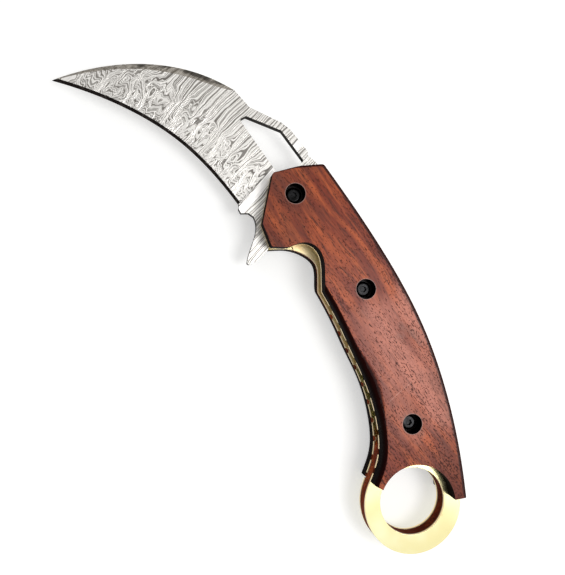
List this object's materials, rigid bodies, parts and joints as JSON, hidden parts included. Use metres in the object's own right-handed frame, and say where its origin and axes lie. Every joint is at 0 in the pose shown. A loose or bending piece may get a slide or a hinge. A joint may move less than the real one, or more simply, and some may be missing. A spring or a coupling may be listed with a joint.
{
  "type": "folding hook knife",
  "caption": "Folding hook knife: hooked patterned steel blade with thumb loop and flipper, brass liners ending in a finger ring, rosewood scales and a liner lock.",
  "frame": {"origin": "centre of the finger ring on the blade's middle plane", "axes": "+X from the blade's pivot to the finger ring, +Y to the spine of the handle, +Z to the front scale"},
  "size_m": [0.2009, 0.0877, 0.019],
  "materials": {
    "rosewood": "oiled and polished, straight grain with dark pores",
    "brass": "polished",
    "bronze": "satin",
    "patterned_steel": "etched, fine wavy layer pattern",
    "steel": "ground",
    "black_steel": "black oxide, satin"
  },
  "bodies": {
    "handle": {"front_liner": "brass", "back_liner": "brass", "back_spacer": "rosewood", "front_scale": "rosewood", "back_scale": "rosewood", "pivot_barrel": "steel", "washer_front": "bronze", "washer_back": "bronze", "stop_pin": "steel", "middle_standoff": "steel", "rear_standoff": "steel", "pivot_screw_front": "black_steel", "pivot_screw_back": "black_steel", "middle_screw_front": "black_steel", "middle_screw_back": "black_steel", "rear_screw_front": "black_steel", "rear_screw_back": "black_steel"},
    "blade": {"blade": "patterned_steel"},
    "lock_bar": {"lock_bar": "brass", "detent_ball": "steel"}
  },
  "joints": [
    {"name": "blade_fold", "type": "hinge", "parent": "handle", "child": "blade", "pos_m": [-0.1166, 0, 0], "axis": [0, 0, 1], "range_deg": [0, 140]},
    {"name": "lock_bar_flex", "type": "hinge", "parent": "handle", "child": "lock_bar", "pos_m": [-0.05035, 0, -0.00285], "axis": [0, -1, 0], "range_deg": [0, 1.6], "stiffness_Nm_per_rad": 9, "springref_deg": -1.15}
  ]
}
